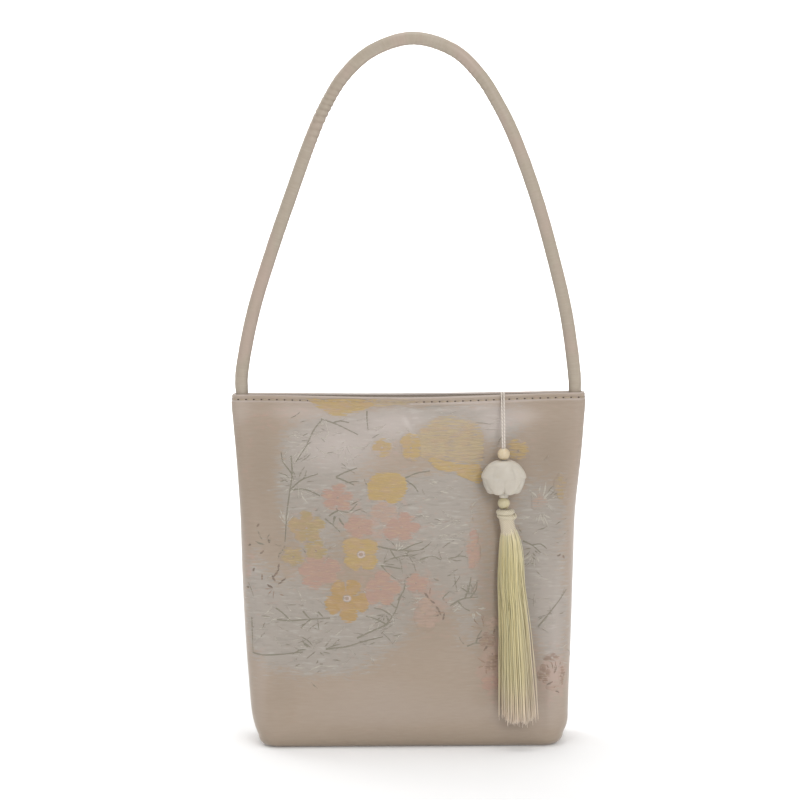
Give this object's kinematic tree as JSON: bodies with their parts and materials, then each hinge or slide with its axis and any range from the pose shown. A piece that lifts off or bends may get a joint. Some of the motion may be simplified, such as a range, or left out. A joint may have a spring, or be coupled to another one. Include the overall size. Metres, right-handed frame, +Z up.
{
  "type": "embroidered brocade purse",
  "caption": "Small upright brocade tote purse with a flower pattern, a rolled arch handle and a lotus bead tassel hung over the rim.",
  "frame": {"origin": "middle of the flat base, on the surface that the purse stands on", "axes": "+Z up to the top of the handle, +X to the right of the front, -Y out of the front, where the tassel hangs"},
  "size_m": [0.211, 0.0679, 0.4232],
  "materials": {
    "brocade": "woven silk blend, soft satin sheen",
    "handle_cloth": "the same cloth rolled round a core",
    "lining": "plain twill, matte",
    "cord_silk": "thin twisted silk cord",
    "tassel_silk": "floss strands, pale yellow green",
    "binding_silk": "cream cord and wound thread",
    "cream_bead": "polished cream bead",
    "lotus_stone": "frosted white carved bead",
    "jade_bead": "polished pale green bead",
    "yellow_silk": "pattern weft, soft gold",
    "rose_silk": "pattern weft, dusty pink",
    "twig_silk": "pattern weft, grey green",
    "silver_silk": "pattern weft, pale silver",
    "sewing_thread": "stitching"
  },
  "bodies": {
    "root": {"front_panel": "brocade", "back_panel": "brocade", "base_panel": "brocade", "handle": "handle_cloth", "pendant_cord": "cord_silk", "cord_tack": "cord_silk", "top_bead": "cream_bead", "lotus_bead": "lotus_stone", "low_bead": "jade_bead", "tassel_cap": "binding_silk", "tassel_binding": "binding_silk", "tassel_fringe": "tassel_silk"}
  },
  "joints": []
}
